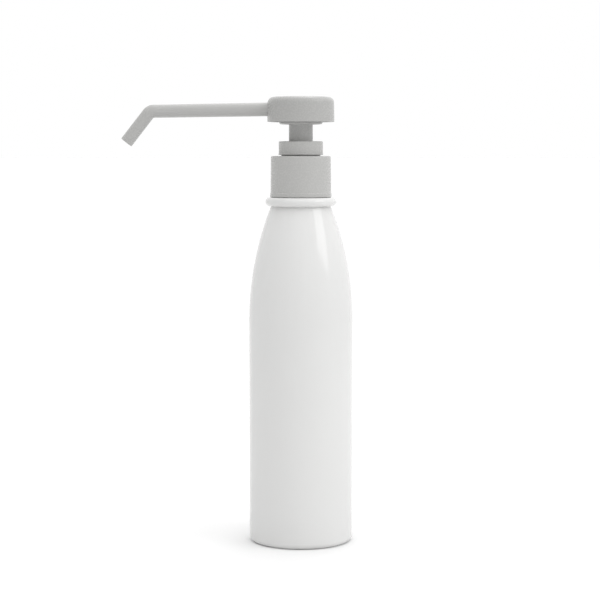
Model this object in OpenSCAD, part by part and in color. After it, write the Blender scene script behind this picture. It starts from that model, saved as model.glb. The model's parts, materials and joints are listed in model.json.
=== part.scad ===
// Pump bottle for soap or lotion, in millimetres.
// A blow moulded bottle of about 230 ml carries a hand pump with a long bent spout.
// The origin is at the middle of the base, Z points up and the spout points to -X.
// The head is drawn up, as it stands before a press, and the closure is screwed tight.

/* [Bottle] */
// Outer diameter of the body
body_d = 48.3; // [42:0.1:60]
// Height of the straight part of the body
body_h = 103; // [80:0.1:150]
// Height of the curved shoulder, up to the bead
shoulder_h = 53.9; // [40:0.1:70]
// Radius of the rounded edge of the base
base_edge_r = 2.3; // [1.6:0.1:5]
// Thickness of the side wall
bottle_wall = 1.1; // [0.8:0.1:1.5]
// Thickness of the floor
base_wall = 1.3; // [0.9:0.1:2.5]
// How far the floor is pushed up in its middle
push_up = 2; // [0.5:0.1:4]
// Width of the ring that the bottle stands on
foot_w = 1.4; // [0.8:0.1:4]

/* [Neck] */
// Diameter over the neck's thread, 24 mm nominal
thread_d = 23.9; // [22.5:0.1:30]
// Depth of the thread
thread_depth = 1.1; // [0.8:0.1:1.4]
// Thickness of the neck's wall
neck_wall = 1.4; // [1:0.1:1.8]
// Gap between the neck's bore and the pump in it
neck_gap = 1.3; // [0.8:0.1:1.6]
// Width of the step from the neck to the top of the shoulder
shoulder_step = 3; // [2.5:0.1:5]
// How far the bead stands out from the top of the shoulder
bead_out = 2.55; // [1.5:0.05:4]
// Height of the bead
bead_h = 4.1; // [4:0.1:6]
// Rounding of the bead's edges
bead_edge_r = 2; // [1.4:0.1:2]

/* [Closure] */
// Height of the closure
closure_h = 19; // [16:0.1:22]
// Thickness of the closure's side wall
closure_wall = 1.95; // [1.2:0.05:3]
// Slant of the closure's side, in degrees
closure_draft = 0.5; // [0:0.1:2]
// Thickness of the closure's top
closure_roof = 1.4; // [1:0.1:2.5]
// Rounding of the closure's top edge
closure_edge_r = 0.7; // [0.3:0.1:0.9]
// How far the closure's foot band stands out
foot_band_out = 0.16; // [0.1:0.02:0.6]
// Height of the foot band
foot_band_h = 2; // [1:0.1:4]
// Gap between the closure and the bead
closure_gap = 0.1; // [0.1:0.05:2]
// Gap between the closure and the thread
thread_gap = 0.15; // [0.1:0.05:0.4]

/* [Collar] */
// Height of the collar that shows
collar_h = 6.3; // [5:0.1:9]
// How far the collar stands out from its waist
collar_out = 1.15; // [0.8:0.05:3]
// Height of the waist that shows above the closure
waist_h = 0.5; // [0.4:0.1:2]
// Thickness of the collar's top
collar_roof = 1.2; // [0.8:0.1:2]
// Rounding of the collar's top edge
collar_edge_r = 0.6; // [0.3:0.1:1]
// Thickness of the collar's skirt
collar_skirt = 0.9; // [0.7:0.1:1.3]

/* [Pump] */
// How far the head travels when it is pressed
stroke = 7.2; // [5:0.1:9]
// Gap that is left above the collar when the head is pressed
press_gap = 0.6; // [0.3:0.1:1.5]
// Thickness of the pump cylinder's wall
housing_wall = 0.9; // [0.7:0.1:1.1]
// Thickness of the pump cylinder's flange
flange_h = 1.2; // [0.9:0.1:2]
// Thickness of the gasket
gasket_h = 0.9; // [0.6:0.1:2]
// How far the collar's sleeve reaches below the flange
sleeve_depth = 3.75; // [2:0.05:6]
// Height of the piston
piston_h = 7; // [6.5:0.1:10]
// Diameter of the spring's wire
wire_d = 0.9; // [0.6:0.05:1]
// Length of the spring with the head up
spring_l = 20; // [18:0.5:28]
// Number of the spring's turns
spring_turns = 8; // [6:1:10]
// Width of the stem's step above the piston
stem_step = 0.8; // [0.7:0.05:1.4]
// Thickness of the stem's wall
stem_wall = 1.3; // [1:0.1:1.5]

/* [Valves] */
// Diameter of the steel balls
ball_d = 5; // [4:0.1:5.6]
// How far a ball can lift
ball_lift = 1.4; // [0.8:0.1:1.8]
// Gap around a ball in its chamber
ball_gap = 0.8; // [0.5:0.1:0.9]
// Thickness of the ball cage
cage_h = 1; // [0.8:0.1:2]

/* [Dip tube] */
// Outer diameter of the dip tube
tube_d = 6.4; // [5:0.1:8]
// Thickness of the dip tube's wall
tube_wall = 0.8; // [0.5:0.1:1.2]
// Length of the dip tube in its socket
tube_socket_l = 10; // [6:0.5:14]
// Gap between the dip tube's end and the floor
tube_end_gap = 2.3; // [1:0.1:8]
// Slant of the dip tube's cut end, in degrees
tube_cut = 30; // [0:1:45]

/* [Head] */
// Diameter of the head at its lower edge
head_d = 31; // [28:0.1:40]
// Height of the head
head_h = 11.5; // [11.4:0.1:15]
// Slant of the head's side, in degrees
head_draft = 0.9; // [0:0.1:3]
// Rounding of the head's top edge
head_edge_r = 2.8; // [1.6:0.1:4]
// Thickness of the head's wall
head_wall = 1.4; // [1:0.1:2]
// Diameter of the round boss below the head
boss_d = 20; // [18:0.1:22]
// How far the boss reaches below the head
boss_drop = 1.1; // [0.4:0.1:3]
// Thickness of the boss's wall
boss_wall = 1.2; // [0.8:0.1:1.5]
// Height of the ribs under the head
rib_h = 3; // [1:0.1:5]
// Thickness of the ribs under the head
rib_w = 1; // [0.6:0.1:2]

/* [Spout] */
// Outer diameter of the spout's bent end
spout_d = 6; // [5:0.1:6.2]
// Outer diameter of the spout at the head, from where it narrows to its bend
spout_root_d = 6.3; // [6.2:0.1:6.6]
// Thickness of the spout's wall
spout_wall = 0.9; // [0.6:0.1:1.2]
// Distance from the bottle's axis to the spout's bend
spout_run = 69.6; // [40:0.1:120]
// Length of the bent end
spout_tip_l = 18.1; // [8:0.1:30]
// Fall of the spout towards its bend, in degrees
spout_fall = 0.95; // [0:0.05:4]
// Angle of the bent end below level, in degrees
spout_dip = 52; // [20:0.5:85]
// Height of the spout above the head's lower edge
spout_rise = 6; // [5.6:0.1:6.4]

/* [Hidden] */
$fn = 96;
// Facets of the very large circles
FINE = 720;
// How far a cut runs past the face that it opens
PAST = 1;
// Gap between flat faces that meet on pieces that move
FACE_GAP = 0.05;
// Radial gap of a piece that slides or turns in another
RUN_GAP = 0.1;
// Radial gap of a piece that is pushed into another and stays there
PUSH_GAP = 0.03;
// Gap between the spring and what stands beside it
SPRING_GAP = 0.3;
// Gap round the waist in the closure's top, and above the pump cylinder's rim
CLEAR = 0.3;
// Rounding of edges that hardly show
EDGE = 0.2;
// Height of the snap rings that hold collar and piston, and half their width
SNAP = 0.2;
SNAP_W = 0.3;
// How far the spout's stretches run into each other, and the step that is left between them
JOIN = 0.1;
HAIR = 0.02;
WHITE = [0.95, 0.95, 0.94];
GREY = [0.74, 0.74, 0.72];
NATURAL = [0.86, 0.88, 0.88];
STEEL = [0.6, 0.61, 0.63];

// Radii from the neck inwards
neck_r = thread_d / 2 - thread_depth;
neck_bore_r = neck_r - neck_wall;
housing_r = neck_bore_r - neck_gap;
pump_bore_r = housing_r - housing_wall;
piston_r = pump_bore_r - FACE_GAP;
lip_wall = 0.75;
spring_r = piston_r - lip_wall - SPRING_GAP - wire_d;
spigot_r = spring_r - SPRING_GAP - SNAP;
spigot_wall = 1.1;
spigot_bore_r = spigot_r - spigot_wall;
stem_r = spigot_r + stem_step;
stem_bore_r = stem_r - stem_wall;

// Radii from the neck outwards
body_r = body_d / 2;
shoulder_r = neck_r + shoulder_step;
bead_r = shoulder_r + bead_out;
closure_bore_r = thread_d / 2 + thread_gap;
closure_r = closure_bore_r + closure_wall;
flange_gap = 0.7;
flange_r = closure_bore_r - flange_gap;
waist_r = housing_r + PUSH_GAP + collar_skirt;
collar_r = waist_r + collar_out;

// Radius of the shoulder's arc, which runs on from the straight side
shoulder_in = body_r - shoulder_r;
shoulder_arc_r = (shoulder_h * shoulder_h + shoulder_in * shoulder_in) / (2 * shoulder_in);
// Radius of the dome in the floor
dome_edge_r = body_r - base_edge_r - foot_w;
dome_r = (dome_edge_r * dome_edge_r + push_up * push_up) / (2 * push_up);

// Heights from the base up
bead_z = body_h + shoulder_h;
bead_top = bead_z + bead_h;
closure_z = bead_top + closure_gap;
closure_top = closure_z + closure_h;
flange_top = closure_top - closure_roof - FACE_GAP;
flange_z = flange_top - flange_h;
neck_top = flange_z - gasket_h;
collar_z = closure_top + waist_h;
collar_top = collar_z + collar_h;
boss_z = collar_top + press_gap + stroke;
head_z = boss_z + boss_drop;
head_top = head_z + head_h;
spout_z = head_z + spout_rise;

// Heights inside the pump, from the collar's sleeve down
sleeve_z = flange_top - sleeve_depth;
piston_top = sleeve_z - FACE_GAP;
piston_z = piston_top - piston_h;
lip_h = 2;
web_z = piston_z + lip_h;
spring_z = web_z - spring_l;
shelf_z = spring_z - cage_h;

// Valves: a ball rests on a cone of 45 degrees, whose hole is a little smaller than the line of contact
ball_r = ball_d / 2;
chamber_r = ball_r + ball_gap;
seat_land = 0.17;
seat_hole_r = ball_r * sin(45) - seat_land;
seat_wall = 0.9;
// Height of the ball's middle above the edge of the seat's hole
ball_over_seat = ball_r / sin(45) - seat_hole_r + RUN_GAP;
inlet_ball_z = shelf_z - FACE_GAP - ball_lift - ball_r;
inlet_seat_z = inlet_ball_z - ball_over_seat;
socket_top = inlet_seat_z - seat_wall;
housing_z = socket_top - tube_socket_l;
spout_bore_r = spout_d / 2 - spout_wall;
// Height that is left between the stem's top and the spout's bore
stem_short = 0.4;
stem_top = spout_z - spout_bore_r - stem_short;
outlet_seat_z = stem_top - (chamber_r - seat_hole_r);
outlet_ball_z = outlet_seat_z + ball_over_seat;
// A nub in the chamber's roof stops the ball
nub_r = 1.2;
nub_h = 1;
chamber_top = outlet_ball_z + ball_r + ball_lift + FACE_GAP + nub_h;

// Dip tube
tube_r = tube_d / 2;
tail_wall = 1.1;
tail_r = max(tube_r, chamber_r) + tail_wall;
tube_z = push_up + base_wall + tube_end_gap;

// Head and spout
roof_z = head_top - head_wall;
head_r = head_d / 2;
boss_r = boss_d / 2;
socket_r = stem_r + head_wall;
spout_r = spout_d / 2;
root_r = spout_root_d / 2;
// Wall that is left between the stem and the spout's inner end
spout_stop = 0.9;
spout_start = stem_r + spout_stop;
// The spout's bend is as tight as the tube allows
bend_in_r = 0.1;
bend_r = spout_r + bend_in_r;
bend_angle = spout_dip - spout_fall;
bend_tangent = bend_r * tan(bend_angle / 2);
spout_straight = spout_run / cos(spout_fall) - bend_tangent;

// Outlines, with X as the radius and Y as the height

// What a rounding of radius r takes off a square corner
module corner(r) {
    difference() {
        square(r + PAST);
        circle(r);
    }
}

// Rectangle between two radii and two heights, with rounded outer corners
module band(r0, r1, z0, z1, top = 0, bottom = 0) {
    difference() {
        translate([r0, z0])
            square([r1 - r0, z1 - z0]);
        if (top > 0)
            translate([r1 - top, z1 - top])
                corner(top);
        if (bottom > 0)
            translate([r1 - bottom, z0 + bottom])
                mirror([0, 1])
                    corner(bottom);
    }
}

// Cone from radius r0 at height z0 to radius r1 at height z1, filled to the axis.
// It runs on past z1 at the same radius.
module taper(r0, r1, z0, z1, past = 0) {
    polygon([[0, z0], [r0, z0], [r1, z1], [r1, z1 + past], [0, z1 + past]]);
}

// Filled outline with a slanted side, and an arc of radius r between side and top
module drafted(r0, draft, z0, z1, r) {
    mid_z = z1 - r;
    mid_r = (r0 * cos(draft) + (z0 - mid_z) * sin(draft) - r) / cos(draft);
    polygon([
        [0, z0],
        [r0, z0],
        [mid_r + r * cos(draft), mid_z + r * sin(draft)],
        [mid_r, z1],
        [0, z1]
    ]);
    translate([mid_r, mid_z])
        circle(r);
}

// Body, shoulder and bead in one outline, drawn in by the wall for the inside
module bottle_outline(inset, floor_z) {
    band(0, body_r - inset, floor_z, body_h, bottom = base_edge_r - inset);
    intersection() {
        translate([body_r - shoulder_arc_r, body_h])
            circle(shoulder_arc_r - inset, $fn = FINE);
        translate([0, body_h - PAST])
            square([body_r, shoulder_h + bead_h / 2 + PAST]);
    }
    band(0, bead_r - inset, bead_z + inset, bead_top - inset,
         top = bead_edge_r - inset, bottom = bead_edge_r - inset);
}

module floor_dome(wall) {
    translate([0, push_up - dome_r])
        circle(dome_r + wall, $fn = FINE);
}

module bottle() {
    color(WHITE)
        rotate_extrude()
            difference() {
                union() {
                    bottle_outline(0, 0);
                    band(0, neck_r, bead_z, neck_top, top = 2 * EDGE);
                }
                floor_dome(0);
                difference() {
                    union() {
                        bottle_outline(bottle_wall, base_wall);
                        band(0, neck_bore_r, bead_z, neck_top + PAST);
                    }
                    floor_dome(base_wall);
                }
            }
}

module closure() {
    hole_r = waist_r + CLEAR;
    band_r = closure_r + foot_band_out;
    band_edge = 2 * EDGE;
    // Half the height of the slope from the foot band to the side above it
    slope_h = 0.3;
    color(GREY)
        rotate_extrude()
            difference() {
                union() {
                    drafted(closure_r, closure_draft, closure_z + foot_band_h / 2, closure_top,
                            closure_edge_r);
                    polygon([
                        [0, closure_z],
                        [band_r, closure_z],
                        [band_r, closure_z + foot_band_h - slope_h],
                        [closure_r - foot_band_out, closure_z + foot_band_h + slope_h],
                        [0, closure_z + foot_band_h + slope_h]
                    ]);
                }
                translate([band_r - band_edge, closure_z + band_edge])
                    mirror([0, 1])
                        corner(band_edge);
                band(0, closure_bore_r, closure_z - PAST, closure_top - closure_roof);
                band(0, hole_r, closure_z, closure_top + PAST);
            }
}

module gasket() {
    color(NATURAL)
        rotate_extrude()
            band(housing_r + RUN_GAP, flange_r, neck_top, flange_z, top = EDGE, bottom = EDGE);
}

// Ring that snaps into a groove: a low roof on the outside of a tube
module snap_ring(r, z, grow) {
    polygon([
        [r - PAST, z - SNAP_W - grow],
        [r, z - SNAP_W - grow],
        [r + SNAP + grow, z - grow / 2],
        [r + SNAP + grow, z + grow / 2],
        [r, z + SNAP_W + grow],
        [r - PAST, z + SNAP_W + grow]
    ]);
}

snap_depth = 1.6;
snap_z = collar_top - collar_roof - snap_depth;

module housing() {
    rim_z = collar_top - collar_roof - CLEAR;
    shelf_wall = 0.75;
    cone_z = shelf_z - shelf_wall;
    cone_h = housing_r - tail_r;
    funnel_w = 1.7;
    funnel_r = chamber_r + funnel_w;
    vent_d = 1.2;
    color(NATURAL)
        difference() {
            rotate_extrude()
                difference() {
                    union() {
                        band(0, housing_r, cone_z, rim_z, top = EDGE);
                        snap_ring(housing_r, snap_z, 0);
                        band(0, flange_r, flange_z, flange_top, top = EDGE, bottom = EDGE);
                        taper(tail_r, housing_r, cone_z - cone_h, cone_z, PAST);
                        band(0, tail_r, housing_z, cone_z, bottom = 2 * EDGE);
                    }
                    band(0, pump_bore_r, shelf_z, rim_z + PAST);
                    taper(chamber_r, funnel_r, shelf_z - funnel_w, shelf_z, PAST);
                    taper(seat_hole_r, chamber_r, inlet_seat_z,
                          inlet_seat_z + chamber_r - seat_hole_r, ball_d);
                    band(0, seat_hole_r, socket_top - PAST, inlet_seat_z + PAST);
                    band(0, tube_r + PUSH_GAP, housing_z - PAST, socket_top);
                }
            translate([0, 0, piston_top - piston_h / 2])
                rotate([90, 0, 0])
                    cylinder(h = housing_r + PAST, d = vent_d);
        }
}

module collar() {
    foot_out = 0.1;
    foot_h = 0.8;
    color(GREY)
        rotate_extrude()
            difference() {
                union() {
                    band(0, collar_r, collar_z, collar_top, top = collar_edge_r);
                    band(0, collar_r + foot_out, collar_z, collar_z + foot_h, top = foot_out, bottom = EDGE);
                    band(0, waist_r, flange_top, collar_z + PAST);
                    band(0, pump_bore_r - PUSH_GAP, sleeve_z, collar_z);
                }
                difference() {
                    union() {
                        band(0, housing_r + PUSH_GAP, sleeve_z - PAST, collar_top - collar_roof);
                        snap_ring(housing_r, snap_z, PUSH_GAP);
                    }
                    band(0, pump_bore_r - PUSH_GAP, sleeve_z, collar_top);
                }
                band(0, stem_r + RUN_GAP, sleeve_z - PAST, collar_top + PAST);
            }
}

module dip_tube() {
    cut = 2 * tube_d;
    color(NATURAL)
        difference() {
            translate([0, 0, tube_z])
                cylinder(h = socket_top - tube_z, r = tube_r);
            translate([0, 0, tube_z - PAST])
                cylinder(h = socket_top - tube_z + 2 * PAST, r = tube_r - tube_wall);
            translate([tube_r, 0, tube_z])
                rotate([0, -tube_cut, 0])
                    translate([-cut, -cut / 2, -cut])
                        cube([2 * cut, cut, cut]);
        }
}

module ball_cage() {
    arms = 3;
    arm_angle = 34;
    button_r = 1.4;
    rim_r = spring_r - SPRING_GAP;
    rim_wall = 0.9;
    rim_h = 1.4;
    color(NATURAL)
        difference() {
            rotate_extrude() {
                band(0, pump_bore_r - RUN_GAP, shelf_z, spring_z, top = EDGE);
                band(rim_r - rim_wall, rim_r, shelf_z, spring_z + rim_h, top = EDGE);
            }
            for (i = [0 : arms - 1])
                rotate([0, 0, i * 360 / arms])
                    translate([0, 0, shelf_z - PAST])
                        rotate_extrude(angle = 360 / arms - arm_angle)
                            translate([button_r, 0])
                                square([chamber_r - button_r, cage_h + 2 * PAST]);
        }
}

module inlet_ball() {
    color(STEEL)
        translate([0, 0, inlet_ball_z])
            sphere(ball_r);
}

// Spring: a round wire swept along a coil, with a closed turn at each end
WIRE_SIDES = 8;
TURN_STEPS = 20;
coil_r = spring_r + wire_d / 2;
coil_steps = spring_turns * TURN_STEPS;
closed_pitch = wire_d + RUN_GAP;
coil_h = spring_l - wire_d;
open_pitch = (coil_h - 2 * closed_pitch) / (spring_turns - 2);

// Height of the wire's middle after t turns
function coil_z(t) =
    t < 1 ? closed_pitch * t
    : t > spring_turns - 1 ? coil_h - closed_pitch * (spring_turns - t)
    : closed_pitch + open_pitch * (t - 1);

function wire_point(t, a) =
    let (r = coil_r + wire_d / 2 * cos(a))
    [r * cos(360 * t), r * sin(360 * t), coil_z(t) + wire_d / 2 * sin(a)];

module return_spring() {
    points = [
        for (i = [0 : coil_steps], j = [0 : WIRE_SIDES - 1])
            wire_point(i / TURN_STEPS, j * 360 / WIRE_SIDES)
    ];
    sides = [
        for (i = [0 : coil_steps - 1], j = [0 : WIRE_SIDES - 1])
            let (k = (j + 1) % WIRE_SIDES, a = i * WIRE_SIDES, b = a + WIRE_SIDES)
            [a + j, a + k, b + k, b + j]
    ];
    first_end = [for (j = [WIRE_SIDES - 1 : -1 : 0]) j];
    last_end = [for (j = [0 : WIRE_SIDES - 1]) coil_steps * WIRE_SIDES + j];
    color(STEEL)
        translate([0, 0, spring_z + wire_d / 2])
            polyhedron(points, concat(sides, [first_end, last_end]));
}

module piston() {
    lip_relief = 0.45;
    lip_land = 0.8;
    lip_tip = 0.6;
    groove_w = 0.5;
    groove_depth = 1.4;
    mid_r = piston_r - lip_relief;
    groove_r = piston_r - lip_tip;
    color(NATURAL)
        rotate_extrude()
            difference() {
                polygon([
                    [0, piston_z],
                    [piston_r, piston_z],
                    [piston_r, piston_z + lip_land],
                    [mid_r, piston_z + lip_land + lip_h],
                    [mid_r, piston_top - lip_land - lip_h],
                    [piston_r, piston_top - lip_land],
                    [piston_r, piston_top],
                    [0, piston_top]
                ]);
                polygon([
                    [groove_r, piston_top + PAST],
                    [groove_r, piston_top],
                    [groove_r - groove_w, piston_top - groove_depth],
                    [groove_r - groove_w, piston_top + PAST]
                ]);
                band(0, piston_r - lip_wall, piston_z - PAST, web_z);
                band(0, spigot_r + RUN_GAP, web_z - PAST, piston_top + PAST);
            }
}

module stem() {
    spigot_foot = 1.2;
    spigot_z = web_z - spigot_foot;
    color(GREY)
        rotate_extrude()
            difference() {
                union() {
                    band(0, stem_r, sleeve_z, stem_top, top = EDGE);
                    band(0, spigot_r, spigot_z, sleeve_z);
                    taper(spigot_r - SNAP, spigot_r + SNAP, spigot_z, web_z - FACE_GAP);
                }
                band(0, spigot_bore_r, spigot_z - PAST, sleeve_z + 2 * PAST);
                band(0, stem_bore_r, sleeve_z + PAST, outlet_seat_z - seat_wall);
                band(0, seat_hole_r, outlet_seat_z - 2 * seat_wall, outlet_seat_z + PAST);
                taper(seat_hole_r, chamber_r, outlet_seat_z, stem_top, PAST);
            }
}

module outlet_ball() {
    color(STEEL)
        translate([0, 0, outlet_ball_z])
            sphere(ball_r);
}

// Places its children on the spout's line, with Z along the spout and away from the head
module on_spout() {
    translate([0, 0, spout_z])
        rotate([0, -90 - spout_fall, 0])
            children();
}

module head() {
    ribs = 6;
    spout_socket_r = root_r + boss_wall;
    socket_short = 0.3;
    boss_edge = 0.5;
    // The skirt's inside at its foot, its slant and the chamfer under the roof
    skirt_r = head_r - head_wall / cos(head_draft);
    slant = tan(head_draft);
    chamfer = max(head_edge_r - head_wall, EDGE);
    chamfer_z = roof_z - chamfer;
    rib_l = head_r - boss_r - head_wall / 2 + boss_wall / 2;
    color(GREY)
        difference() {
            union() {
                rotate_extrude() {
                    difference() {
                        drafted(head_r, head_draft, head_z, head_top, head_edge_r);
                        polygon([
                            [0, head_z - PAST],
                            [skirt_r + PAST * slant, head_z - PAST],
                            [skirt_r - (chamfer_z - head_z) * slant, chamfer_z],
                            [skirt_r - (roof_z - head_z) * slant - chamfer, roof_z],
                            [0, roof_z]
                        ]);
                    }
                    polygon([
                        [boss_r - boss_wall, boss_z],
                        [boss_r - boss_edge, boss_z],
                        [boss_r, boss_z + boss_edge],
                        [boss_r, roof_z + FACE_GAP],
                        [boss_r - boss_wall, roof_z + FACE_GAP]
                    ]);
                    band(0, socket_r, boss_z + socket_short, roof_z + FACE_GAP);
                }
                on_spout()
                    translate([0, 0, socket_r / 2])
                        cylinder(h = head_r - head_wall / 2 - socket_r / 2, r = spout_socket_r);
                translate([head_wall / 2 - head_r, -root_r / 2, spout_z])
                    cube([head_r - socket_r, root_r, roof_z - spout_z + FACE_GAP]);
                for (i = [1 : ribs - 1])
                    rotate([0, 0, 180 + i * 360 / ribs])
                        translate([boss_r - boss_wall / 2, -rib_w / 2, roof_z - rib_h])
                            cube([rib_l, rib_w, rib_h + FACE_GAP]);
            }
            rotate_extrude()
                difference() {
                    union() {
                        band(0, stem_r + PUSH_GAP, boss_z - PAST, stem_top);
                        band(0, chamber_r, stem_top - PAST, chamber_top);
                    }
                    band(0, nub_r, chamber_top - nub_h, chamber_top + PAST);
                }
            on_spout() {
                cylinder(h = head_r, r = spout_bore_r);
                translate([0, 0, spout_start])
                    cylinder(h = head_r, r = root_r + PUSH_GAP);
            }
        }
}

// A straight tube from inside the bend's end to length l.
// Up to length l1 it widens from the bend's radius to r, and from there on it stays at r.
module spout_length(l, l1, r) {
    translate([bend_r, 0, 0])
        rotate_extrude()
            polygon([
                [spout_bore_r, -JOIN],
                [spout_r, -JOIN],
                [spout_r, 0],
                [r, l1],
                [r, l],
                [spout_bore_r, l]
            ]);
}

// The two straight stretches run a little way into the bend, whose wall is a hair thicker
module spout() {
    color(GREY)
        on_spout()
            translate([-bend_r, 0, spout_straight]) {
                mirror([0, 0, 1])
                    spout_length(spout_straight - spout_start, spout_straight - head_r, root_r);
                rotate([90, 0, 0])
                    rotate_extrude(angle = bend_angle)
                        translate([bend_r, 0])
                            difference() {
                                circle(spout_r + HAIR);
                                circle(spout_bore_r - HAIR);
                            }
                rotate([0, -bend_angle, 0])
                    spout_length(spout_tip_l - bend_tangent, JOIN, spout_r);
            }
}

bottle();
closure();
gasket();
housing();
collar();
dip_tube();
ball_cage();
inlet_ball();
return_spring();
piston();
stem();
outlet_ball();
head();
spout();
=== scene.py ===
import json
import math

import bpy
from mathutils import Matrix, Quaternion, Vector

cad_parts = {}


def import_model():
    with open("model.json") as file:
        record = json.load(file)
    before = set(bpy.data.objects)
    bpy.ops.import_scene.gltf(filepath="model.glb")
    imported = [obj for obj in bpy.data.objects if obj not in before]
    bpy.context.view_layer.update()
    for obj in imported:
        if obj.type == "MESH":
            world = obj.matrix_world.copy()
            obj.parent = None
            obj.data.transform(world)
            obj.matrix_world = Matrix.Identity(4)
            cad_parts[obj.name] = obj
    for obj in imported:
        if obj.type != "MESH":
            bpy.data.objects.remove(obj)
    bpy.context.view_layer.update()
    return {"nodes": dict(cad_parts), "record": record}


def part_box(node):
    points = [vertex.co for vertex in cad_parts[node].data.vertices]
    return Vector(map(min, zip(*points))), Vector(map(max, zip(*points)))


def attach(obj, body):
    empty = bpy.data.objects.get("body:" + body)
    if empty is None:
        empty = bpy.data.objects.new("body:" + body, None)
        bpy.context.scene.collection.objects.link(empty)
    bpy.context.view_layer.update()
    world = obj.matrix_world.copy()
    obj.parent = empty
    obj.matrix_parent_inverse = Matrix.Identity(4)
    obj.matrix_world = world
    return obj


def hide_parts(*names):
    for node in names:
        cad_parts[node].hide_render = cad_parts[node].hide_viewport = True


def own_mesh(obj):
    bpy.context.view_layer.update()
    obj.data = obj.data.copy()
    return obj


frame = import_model()
nodes = frame["nodes"]

MM = 0.001
UM = 0.000001


# Node materials

class Shader:
    """A material made of nodes round one Principled BSDF.

    Its patterns lie in the object's own coordinates, in metres.
    """

    def __init__(self, name):
        self.material = bpy.data.materials.new(name)
        self.material.use_nodes = True
        self.tree = self.material.node_tree
        self.bsdf = next(n for n in self.tree.nodes if n.type == "BSDF_PRINCIPLED")
        self.coord = self.node("ShaderNodeTexCoord").outputs["Object"]

    def node(self, kind, **settings):
        n = self.tree.nodes.new(kind)
        for key, value in settings.items():
            setattr(n, key, value)
        return n

    def put(self, socket, value):
        if isinstance(value, bpy.types.NodeSocket):
            self.tree.links.new(value, socket)
        else:
            socket.default_value = value

    def set(self, name, value):
        self.put(self.bsdf.inputs[name], value)

    def gloss(self, ior, level=0.5):
        self.bsdf.inputs["IOR"].default_value = ior
        self.bsdf.inputs["Specular IOR Level"].default_value = level

    def math(self, operation, a, b=0.0):
        n = self.node("ShaderNodeMath", operation=operation)
        self.put(n.inputs[0], a)
        self.put(n.inputs[1], b)
        return n.outputs[0]

    def axis(self, letter):
        n = self.node("ShaderNodeSeparateXYZ")
        self.put(n.inputs[0], self.coord)
        return n.outputs[letter]

    def noise(self, scale, detail, stretch=(1, 1, 1)):
        """Noise with about scale waves a metre, from 0 to 1 and mostly from 0.3 to 0.7."""
        mapping = self.node("ShaderNodeMapping")
        self.put(mapping.inputs["Vector"], self.coord)
        mapping.inputs["Scale"].default_value = stretch
        n = self.node("ShaderNodeTexNoise")
        self.put(n.inputs["Vector"], mapping.outputs[0])
        n.inputs["Scale"].default_value = scale
        n.inputs["Detail"].default_value = detail
        n.inputs["Roughness"].default_value = 0.5
        return n.outputs["Fac"]

    def span(self, value, low, high, start=0.3, stop=0.7, smooth=False):
        """value from start to stop, spread from low to high."""
        n = self.node("ShaderNodeMapRange", clamp=True)
        if smooth:
            n.interpolation_type = "SMOOTHSTEP"
        for name, v in (("Value", value), ("From Min", start), ("From Max", stop),
                        ("To Min", low), ("To Max", high)):
            self.put(n.inputs[name], v)
        return n.outputs[0]

    def blend(self, fac, a, b):
        """Colour a where fac is 0, and b where it is 1."""
        n = self.node("ShaderNodeMix", data_type="RGBA")
        self.put(n.inputs["Factor"], fac)
        colours = [s for s in n.inputs if s.type == "RGBA"]
        for socket, value in zip(colours, (a, b)):
            self.put(socket, value if isinstance(value, bpy.types.NodeSocket) else (*value, 1))
        return next(s for s in n.outputs if s.type == "RGBA")

    def tint(self, pattern, dark, light):
        self.set("Base Color", self.blend(self.span(pattern, 0, 1), dark, light))

    def bump(self, height, distance, under=None):
        """Height from 0 to 1 becomes a relief of distance metres, on top of the relief under it."""
        n = self.node("ShaderNodeBump")
        n.inputs["Strength"].default_value = 1.0
        n.inputs["Distance"].default_value = distance
        self.put(n.inputs["Height"], height)
        if under:
            self.put(n.inputs["Normal"], under)
        return n.outputs[0]

    def milky(self, weight, reach):
        """Light spreads below the surface for reach metres."""
        self.bsdf.inputs["Subsurface Weight"].default_value = weight
        self.bsdf.inputs["Subsurface Radius"].default_value = (1.0, 1.0, 1.0)
        self.bsdf.inputs["Subsurface Scale"].default_value = reach

    def line(self, letter, width):
        """1 on the plane through the origin across that axis, falling to 0 at width from it."""
        away = self.math("ABSOLUTE", self.axis(letter))
        return self.span(away, 1.0, 0.0, 0.0, width, smooth=True)

    def disc(self, radius, soft):
        """1 inside a circle round the Z axis, falling to 0 over soft."""
        squares = [self.math("MULTIPLY", v, v) for v in (self.axis("X"), self.axis("Y"))]
        r = self.math("SQRT", self.math("ADD", *squares))
        return self.span(r, 1.0, 0.0, radius - soft, radius + soft, smooth=True)


def bottle_white():
    s = Shader("white_polyethylene")
    s.tint(s.noise(14, 0), WHITE_DARK, WHITE_LIGHT)
    s.set("Roughness", s.span(s.noise(90, 1), 0.10, 0.14))
    s.gloss(1.5, 0.8)
    peel = s.bump(s.noise(420, 1), 2 * UM)
    parting_line = s.line("Y", 0.16 * MM)
    s.set("Normal", s.bump(parting_line, 40 * UM, under=peel))
    return s.material


def pump_grey(name, dark, light, gate=None):
    """Satin moulded grey. gate is the radius of the mark that the mould's inlet leaves on top."""
    s = Shader(name)
    grain = s.noise(1500, 1)
    s.tint(grain, dark, light)
    s.set("Roughness", s.span(grain, 0.265, 0.28))
    s.gloss(1.42)
    skin = s.bump(grain, 1 * UM)
    if gate:
        pit = s.disc(gate, 0.12 * MM)
        stub = s.math("MULTIPLY", s.disc(0.35 * gate, 0.2 * MM), 0.6)
        mark = s.math("SUBTRACT", 1.0, s.math("SUBTRACT", pit, stub))
        skin = s.bump(mark, 180 * UM, under=skin)
    s.set("Normal", skin)
    return s.material


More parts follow.
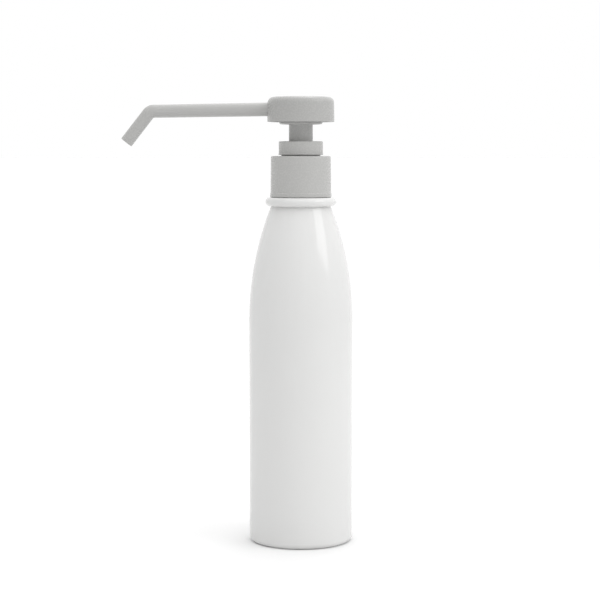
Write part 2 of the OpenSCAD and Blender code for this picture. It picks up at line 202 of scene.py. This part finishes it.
def spout_grey():
    s = Shader("grey_tube")
    streaks = s.noise(500, 3, stretch=(0.03, 1, 1))
    s.tint(streaks, TUBE_DARK, TUBE_LIGHT)
    s.set("Roughness", s.span(streaks, 0.33, 0.42))
    s.gloss(1.49)
    lines = s.bump(streaks, 20 * UM)
    s.set("Normal", s.bump(s.noise(1600, 2), 6 * UM, under=lines))
    return s.material


def natural(name, dark, light, roughness):
    """Uncoloured plastic of the inner pieces."""
    s = Shader(name)
    s.tint(s.noise(130, 2), dark, light)
    s.set("Roughness", s.span(s.noise(300, 2), roughness - 0.04, roughness + 0.05))
    s.gloss(1.49)
    s.milky(0.35, 1.2 * MM)
    s.set("Normal", s.bump(s.noise(1400, 2), 8 * UM))
    return s.material


def gasket_foam():
    s = Shader("foam")
    cells = s.node("ShaderNodeTexVoronoi")
    s.put(cells.inputs["Vector"], s.coord)
    cells.inputs["Scale"].default_value = 3200
    pores = s.span(cells.outputs["Distance"], 0, 1, 0.1, 0.6)
    s.set("Base Color", s.blend(pores, FOAM_LIGHT, FOAM_DARK))
    s.set("Roughness", s.span(s.noise(400, 2), 0.75, 0.9))
    s.set("Normal", s.bump(pores, 40 * UM))
    return s.material


def steel(name, colour, smooth, rough, scale, relief):
    s = Shader(name)
    grain = s.noise(scale, 3)
    s.bsdf.inputs["Metallic"].default_value = 1.0
    s.tint(grain, tuple(0.93 * c for c in colour), colour)
    s.set("Roughness", s.span(grain, smooth, rough))
    s.set("Normal", s.bump(grain, relief))
    return s.material


WHITE_DARK, WHITE_LIGHT = (0.716, 0.716, 0.709), (0.724, 0.724, 0.717)
GREY_DARK, GREY_LIGHT = (0.462, 0.461, 0.451), (0.466, 0.465, 0.455)
# Painted shade: the head's grey is the pump's grey made darker, standing in for the head being lit
# less than the closure and collar
HEAD_SHADED_DARK, HEAD_SHADED_LIGHT = (0.416, 0.415, 0.406), (0.420, 0.419, 0.410)
TUBE_DARK, TUBE_LIGHT = (0.425, 0.424, 0.415), (0.445, 0.444, 0.434)
MILKY_DARK, MILKY_LIGHT = (0.70, 0.72, 0.72), (0.76, 0.78, 0.78)
PISTON_DARK, PISTON_LIGHT = (0.77, 0.77, 0.74), (0.82, 0.82, 0.79)
FOAM_DARK, FOAM_LIGHT = (0.68, 0.68, 0.65), (0.80, 0.80, 0.77)
BALL_STEEL, WIRE_STEEL = (0.72, 0.73, 0.75), (0.60, 0.61, 0.63)

looks = {
    "bottle_white": bottle_white(),
    "pump_grey": pump_grey("grey_moulded", GREY_DARK, GREY_LIGHT),
    # Painted shade: a darker copy of the moulded grey, for the head only
    "head_grey_painted_shade": pump_grey("grey_head_painted_shade", HEAD_SHADED_DARK, HEAD_SHADED_LIGHT, gate=1.1 * MM),
    "spout_grey": spout_grey(),
    "pump_natural": natural("milky_polypropylene", MILKY_DARK, MILKY_LIGHT, 0.36),
    "piston_natural": natural("soft_polyethylene", PISTON_DARK, PISTON_LIGHT, 0.46),
    "gasket_foam": gasket_foam(),
    "ball_steel": steel("polished_steel", BALL_STEEL, 0.07, 0.13, 900, 4 * UM),
    "spring_steel": steel("drawn_wire", WIRE_STEEL, 0.24, 0.36, 1500, 10 * UM),
}

for part in frame["record"]["subparts"]:
    # The head gets the darker copy of the grey, which is painted shade
    look = "head_grey_painted_shade" if part["node"] == "head" else part["material_slot"]
    mesh = nodes[part["node"]].data
    mesh.materials.clear()
    mesh.materials.append(looks[look])


# Pieces with more detail than the solids

def swept(name, points, look, body):
    """A closed skin over rings of points, all rings with the same number of points."""
    count = len(points[0])
    vertices = [p for ring in points for p in ring]
    faces = []
    for i in range(len(points) - 1):
        a, b = i * count, (i + 1) * count
        for j in range(count):
            k = (j + 1) % count
            faces.append((a + j, a + k, b + k, b + j))
    faces.append(tuple(range(count))[::-1])
    faces.append(tuple((len(points) - 1) * count + j for j in range(count)))
    mesh = bpy.data.meshes.new(name)
    mesh.from_pydata(vertices, [], faces)
    mesh.polygons.foreach_set("use_smooth", [True] * (len(faces) - 2) + [False] * 2)
    mesh.materials.append(looks[look])
    mesh.update()
    piece = bpy.data.objects.new(name, mesh)
    bpy.context.scene.collection.objects.link(piece)
    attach(piece, body)
    return piece


PITCH = 3.175 * MM
THREAD_TURNS = 1.5
THREAD_STEPS = 96
# Turns over which a thread fades out at each end
THREAD_FADE = 0.12
# How far a thread's foot is sunk in its wall
THREAD_ROOT = 0.15 * MM
# The thread's section: share of its depth, and height in mm
THREAD_FLANK = ((0.0, 0.78), (0.12, 0.70), (0.80, 0.36), (1.0, 0.20))


def thread(name, root, crest, top, look, body):
    """A right-handed ridge round the Z axis that fades out at both its ends."""
    steps = int(THREAD_STEPS * THREAD_TURNS)
    out = 1 if crest > root else -1
    sunk = root - THREAD_ROOT * out
    profile = [(depth, -side) for depth, side in THREAD_FLANK] + list(THREAD_FLANK[::-1])
    rings = []
    for i in range(steps + 1):
        turn = i / steps * THREAD_TURNS
        fade = min(1.0, turn / THREAD_FADE, (THREAD_TURNS - turn) / THREAD_FADE)
        fade = 0.02 + 0.98 * math.sin(fade * math.pi / 2)
        angle = 2 * math.pi * turn
        z = top - PITCH * THREAD_TURNS + PITCH * turn
        ring = []
        for depth, side in profile:
            r = sunk + (crest - sunk) * depth * fade
            rise = side * MM * (0.5 + 0.5 * fade)
            ring.append((r * math.cos(angle), r * math.sin(angle), z + rise))
        rings.append(ring if out > 0 else ring[::-1])
    swept(name, rings, look, body)


neck_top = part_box("gasket")[0].z
thread("neck_thread", 10.85 * MM, 11.95 * MM, neck_top - 1.6 * MM, "bottle_white", "bottle")
thread("closure_thread", 12.1 * MM, 11.1 * MM, neck_top - 3.0 * MM, "pump_grey", "closure")

spring_low, spring_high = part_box("return_spring")
WIRE_R = 0.45 * MM
COIL_R = spring_high.x - WIRE_R
COIL_TURNS = 8
CLOSED_PITCH = 1.0 * MM
COIL_EASE = (-0.06, -0.03, 0, 0.03, 0.06)
coil_h = spring_high.z - spring_low.z - 2 * WIRE_R
open_pitch = (coil_h - 2 * CLOSED_PITCH) / (COIL_TURNS - 2)


def coil_z(turn):
    if turn < 1:
        return CLOSED_PITCH * turn
    if turn > COIL_TURNS - 1:
        return coil_h - CLOSED_PITCH * (COIL_TURNS - turn)
    return CLOSED_PITCH + open_pitch * (turn - 1)


def coil_rings(steps=56, sides=14):
    rings = []
    for i in range(COIL_TURNS * steps + 1):
        turn = i / steps
        angle = 2 * math.pi * turn
        # The slope is eased near the closed turns, so that the wire has no kink
        near = coil_z(turn)
        if 0.1 < turn <= COIL_TURNS - 0.1:
            near = sum(coil_z(turn + d) for d in COIL_EASE) / len(COIL_EASE)
        ring = []
        for j in range(sides):
            a = 2 * math.pi * j / sides
            r = COIL_R + WIRE_R * math.cos(a)
            ring.append((r * math.cos(angle), r * math.sin(angle),
                         spring_low.z + WIRE_R + near + WIRE_R * math.sin(a)))
        rings.append(ring)
    return rings


spring = swept("spring_wire", coil_rings(), "spring_steel", "pump")
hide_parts("return_spring")
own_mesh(spring)


# Floor, world, lamps and camera

FLOOR_HALF = 40.0
FLOOR_CELLS = 16
FLOOR_DARK, FLOOR_LIGHT = (0.742, 0.742, 0.742), (0.754, 0.754, 0.754)
FLOOR_GLOW = 0.06


def floor():
    mesh = bpy.data.meshes.new("floor")
    cells = FLOOR_CELLS
    marks = [FLOOR_HALF * (2 * i / cells - 1) for i in range(cells + 1)]
    vertices = [(x, y, 0) for y in marks for x in marks]
    faces = []
    for j in range(cells):
        for i in range(cells):
            a = j * (cells + 1) + i
            faces.append((a, a + 1, a + cells + 2, a + cells + 1))
    mesh.from_pydata(vertices, [], faces)
    obj = bpy.data.objects.new("floor", mesh)
    bpy.context.scene.collection.objects.link(obj)
    s = Shader("pale_floor")
    s.tint(s.noise(3, 2), FLOOR_DARK, FLOOR_LIGHT)
    s.bsdf.inputs["Roughness"].default_value = 0.9
    s.bsdf.inputs["Specular IOR Level"].default_value = 0.0
    path = s.node("ShaderNodeLightPath")
    seen = s.math("MAXIMUM", path.outputs["Is Camera Ray"], path.outputs["Is Glossy Ray"])
    seen = s.math("MAXIMUM", seen, path.outputs["Is Transmission Ray"])
    glow = s.node("ShaderNodeEmission")
    s.put(glow.inputs["Strength"], s.math("MULTIPLY", seen, FLOOR_GLOW))
    both = s.node("ShaderNodeAddShader")
    s.put(both.inputs[0], s.bsdf.outputs[0])
    s.put(both.inputs[1], glow.outputs[0])
    out = next(n for n in s.tree.nodes if n.type == "OUTPUT_MATERIAL")
    s.put(out.inputs["Surface"], both.outputs[0])
    mesh.materials.append(s.material)


def world():
    """Soft light from a few directions for diffuse rays, and plain white for all others."""
    w = bpy.data.worlds.new("studio")
    bpy.context.scene.world = w
    w.use_nodes = True
    tree = w.node_tree
    tree.nodes.clear()
    new, link = tree.nodes.new, tree.links.new
    coord = new("ShaderNodeTexCoord")

    def total(operation, values):
        first = values[0]
        for value in values[1:]:
            n = new("ShaderNodeMath")
            n.operation = operation
            link(first, n.inputs[0])
            link(value, n.inputs[1])
            first = n.outputs[0]
        return first

    def lobe(direction, start, stop, level):
        """Light that grows to level as the ray's dot with direction goes from start to stop."""
        dot = new("ShaderNodeVectorMath")
        dot.operation = "DOT_PRODUCT"
        link(coord.outputs["Generated"], dot.inputs[0])
        dot.inputs[1].default_value = Vector(direction).normalized()
        n = new("ShaderNodeMapRange")
        n.interpolation_type = "SMOOTHSTEP"
        link(dot.outputs["Value"], n.inputs["Value"])
        settings = {"From Min": start, "From Max": stop, "To Min": 0, "To Max": level}
        for name, value in settings.items():
            n.inputs[name].default_value = value
        return n.outputs[0]

    light = new("ShaderNodeBackground")
    link(total("ADD", [lobe(*settings) for settings in WORLD_LOBES]), light.inputs["Strength"])
    white = new("ShaderNodeBackground")
    white.inputs["Color"].default_value = (1, 1, 1, 1)
    white.inputs["Strength"].default_value = 1.0
    path = new("ShaderNodeLightPath")
    rays = ("Is Camera Ray", "Is Glossy Ray", "Is Transmission Ray")
    seen = total("MAXIMUM", [path.outputs[ray] for ray in rays])
    mix = new("ShaderNodeMixShader")
    link(seen, mix.inputs["Fac"])
    link(light.outputs[0], mix.inputs[1])
    link(white.outputs[0], mix.inputs[2])
    out = new("ShaderNodeOutputWorld")
    link(mix.outputs[0], out.inputs["Surface"])


def lamp(name, place, target, size, watts, roll=0):
    data = bpy.data.lights.new(name, "AREA")
    data.shape = "RECTANGLE"
    data.size, data.size_y = size
    data.energy = watts
    obj = bpy.data.objects.new(name, data)
    obj.location = place
    aim = (Vector(target) - Vector(place)).to_track_quat("-Z", "Y")
    obj.rotation_euler = (aim @ Quaternion((0, 0, 1), math.radians(roll))).to_euler()
    bpy.context.scene.collection.objects.link(obj)


# Direction, start, stop and level of each soft light
WORLD_LOBES = (
    ((0, 0, 1), 0.1, 1.0, 2.16),
    ((0, -1, 0.15), 0.2, 1.0, 0.06),
    ((0.77, -0.64, 0.15), 0.2, 1.0, 0.58),
    ((-0.90, -0.30, 0.10), 0.2, 1.0, 0.10),
    ((0, 1, 0.3), 0.0, 1.0, 0.10),
)

floor()
world()
lamp("key", (0.80, -0.34, 0.66), (0, 0, 0.15), (0.48, 0.62), 1.35, roll=-30)
lamp("top", (0.12, 0.42, 1.0), (0, 0, 0.1), (0.4, 0.3), 1.3)

CAMERA_PLACE = (-0.0004, -0.805, 0.183)
CAMERA_TILT = 4.96

camera = bpy.data.cameras.new("camera")
camera.sensor_width = 36
camera.lens = 103.92
camera.clip_start = 0.01
viewer = bpy.data.objects.new("camera", camera)
viewer.location = CAMERA_PLACE
viewer.rotation_euler = (math.radians(90 - CAMERA_TILT), 0, 0)
bpy.context.scene.collection.objects.link(viewer)
bpy.context.scene.camera = viewer
bpy.context.scene.view_settings.view_transform = "Standard"
